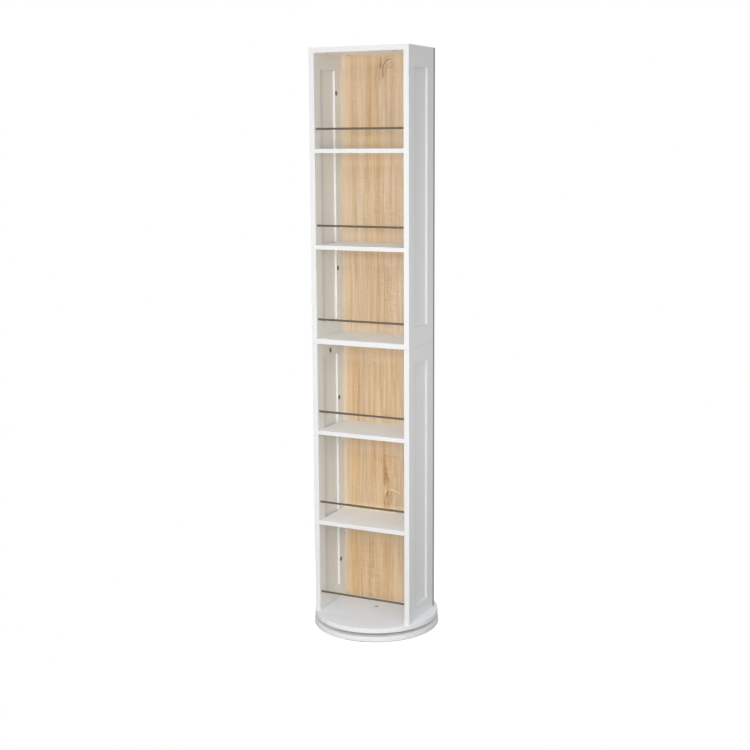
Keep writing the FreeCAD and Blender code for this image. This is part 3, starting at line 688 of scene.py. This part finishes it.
f_out = fnode("ShaderNodeOutputMaterial")
f_path, f_geo, f_tc = fnode("ShaderNodeLightPath"), fnode("ShaderNodeNewGeometry"), fnode("ShaderNodeTexCoord")
f_len = fnode("ShaderNodeVectorMath"); f_len.operation = "LENGTH"
ft.links.new(f_tc.outputs["Object"], f_len.inputs[0])
f_fade = fnode("ShaderNodeMapRange"); f_fade.interpolation_type = "SMOOTHSTEP"
f_fade.inputs["From Min"].default_value = 0.30
f_fade.inputs["From Max"].default_value = 0.95
ft.links.new(f_len.outputs["Value"], f_fade.inputs["Value"])
f_lit, f_seen = fnode("ShaderNodeBsdfDiffuse"), fnode("ShaderNodeBsdfDiffuse")
f_lit.inputs["Color"].default_value = (0.40, 0.40, 0.40, 1.0)
f_seen.inputs["Color"].default_value = (1.45, 1.45, 1.45, 1.0)
f_white = fnode("ShaderNodeEmission")
f_white.inputs["Color"].default_value = (1.0, 1.0, 1.0, 1.0)
f_m1, f_m2, f_m3 = fnode("ShaderNodeMixShader"), fnode("ShaderNodeMixShader"), fnode("ShaderNodeMixShader")
f_clear = fnode("ShaderNodeBsdfTransparent")
ft.links.new(f_fade.outputs["Result"], f_m1.inputs[0])
ft.links.new(f_seen.outputs[0], f_m1.inputs[1])
ft.links.new(f_white.outputs[0], f_m1.inputs[2])
# in reflections the floor fades into the pale room further out
f_far = fnode("ShaderNodeMapRange"); f_far.interpolation_type = "SMOOTHSTEP"
f_far.inputs["From Min"].default_value = 0.45
f_far.inputs["From Max"].default_value = 2.2
ft.links.new(f_len.outputs["Value"], f_far.inputs["Value"])
f_room = fnode("ShaderNodeEmission")
f_room.inputs["Color"].default_value = (0.66, 0.665, 0.67, 1.0)
f_gloss = fnode("ShaderNodeMath"); f_gloss.operation = "MULTIPLY"
ft.links.new(f_path.outputs["Is Glossy Ray"], f_gloss.inputs[0])
ft.links.new(f_far.outputs["Result"], f_gloss.inputs[1])
f_m0 = fnode("ShaderNodeMixShader")
ft.links.new(f_gloss.outputs[0], f_m0.inputs[0])
ft.links.new(f_lit.outputs[0], f_m0.inputs[1])
ft.links.new(f_room.outputs[0], f_m0.inputs[2])
# a lit panel in the floor under the base, so that the underside isn't black
f_near = fnode("ShaderNodeMapRange"); f_near.interpolation_type = "SMOOTHSTEP"
f_near.inputs["From Min"].default_value = 0.168
f_near.inputs["From Max"].default_value = 0.180
f_near.inputs["To Min"].default_value = 1.0
f_near.inputs["To Max"].default_value = 0.0
ft.links.new(f_len.outputs["Value"], f_near.inputs["Value"])
f_panel = fnode("ShaderNodeEmission")
f_panel.inputs["Color"].default_value = (0.55, 0.55, 0.55, 1.0)
f_m4 = fnode("ShaderNodeMixShader")
ft.links.new(f_near.outputs["Result"], f_m4.inputs[0])
ft.links.new(f_m0.outputs[0], f_m4.inputs[1])
ft.links.new(f_panel.outputs[0], f_m4.inputs[2])
ft.links.new(f_path.outputs["Is Camera Ray"], f_m2.inputs[0])
ft.links.new(f_m4.outputs[0], f_m2.inputs[1])
ft.links.new(f_m1.outputs[0], f_m2.inputs[2])
ft.links.new(f_geo.outputs["Backfacing"], f_m3.inputs[0])
ft.links.new(f_m2.outputs[0], f_m3.inputs[1])
ft.links.new(f_clear.outputs[0], f_m3.inputs[2])
ft.links.new(f_m3.outputs[0], f_out.inputs["Surface"])
floor.data.materials.append(fm)


def softbox(name, azimuth, elevation, distance, size, power, colour, aim=(0.0, 0.0, 0.92)):
    """Area light round the object; azimuth 0 is in front, positive towards +X."""
    a, e = math.radians(azimuth), math.radians(elevation)
    back = Vector((math.sin(a) * math.cos(e), -math.cos(a) * math.cos(e), math.sin(e)))
    data = bpy.data.lights.new(name, "AREA")
    data.shape = "RECTANGLE"
    data.size, data.size_y = size
    data.energy = power
    data.color = colour
    light = bpy.data.objects.new(name, data)
    light.location = Vector(aim) + back * distance
    light.rotation_mode = "QUATERNION"
    light.rotation_quaternion = (-back).to_track_quat("-Z", "Y")
    light.visible_camera = False
    scene.collection.objects.link(light)
    return light


softbox("key_front", 0.0, 12.0, 3.2, (2.2, 1.6), 17.0, (1.0, 1.0, 1.0), (0.0, 0.0, 1.10))
softbox("key_mid", 15.0, 4.0, 2.4, (1.8, 1.4), 25.0, (1.0, 1.0, 1.0), (0.0, 0.0, 0.88))
softbox("key_high", 17.0, 25.0, 3.4, (1.8, 2.2), 10.0, (1.0, 1.0, 1.0))
left = softbox("key_left", -20.0, 2.0, 2.6, (1.6, 1.2), 9.0, (1.0, 1.0, 1.0), (0.0, 0.0, 0.70))
softbox("key_right", 45.0, 8.0, 4.5, (2.0, 3.0), 16.0, (1.0, 1.0, 1.0))
softbox("side_fill", 92.0, 0.0, 1.5, (0.9, 0.9), 4.2, (1.0, 1.0, 1.0), (0.0, 0.0, 0.85))
rear = softbox("rear_fill", -152.0, 22.0, 3.6, (1.6, 2.2), 18.0, (1.0, 1.0, 1.0))
left.visible_glossy = rear.visible_glossy = False    # the mirrors show the plain room

# -------------------------------------------------------------------- camera
# Focal length and pixel positions are for a picture of 750 x 750.
FOCAL = 1290.0
YAW, PITCH, ROLL = math.radians(-25.466), math.radians(9.357), math.radians(0.314)
PLACE = Vector((1.6167, -3.3949, 1.4367))
SHIFT_Y = -0.026

fwd = Vector((math.sin(YAW) * math.cos(PITCH), math.cos(YAW) * math.cos(PITCH), -math.sin(PITCH)))
right = Vector((math.cos(YAW), -math.sin(YAW), 0.0))
down = fwd.cross(right)
r2 = math.cos(ROLL) * right + math.sin(ROLL) * down
d2 = -math.sin(ROLL) * right + math.cos(ROLL) * down
cam_data = bpy.data.cameras.new("camera")
cam = bpy.data.objects.new("camera", cam_data)
scene.collection.objects.link(cam)
cam_data.sensor_width = 36.0
cam_data.lens = FOCAL / 750.0 * 36.0
cam_data.shift_y = SHIFT_Y
cam_data.clip_start, cam_data.clip_end = 0.05, 60.0
cam.matrix_world = Matrix.Translation(PLACE) @ Matrix((
    (r2.x, -d2.x, -fwd.x), (r2.y, -d2.y, -fwd.y), (r2.z, -d2.z, -fwd.z))).to_4x4()
scene.camera = cam
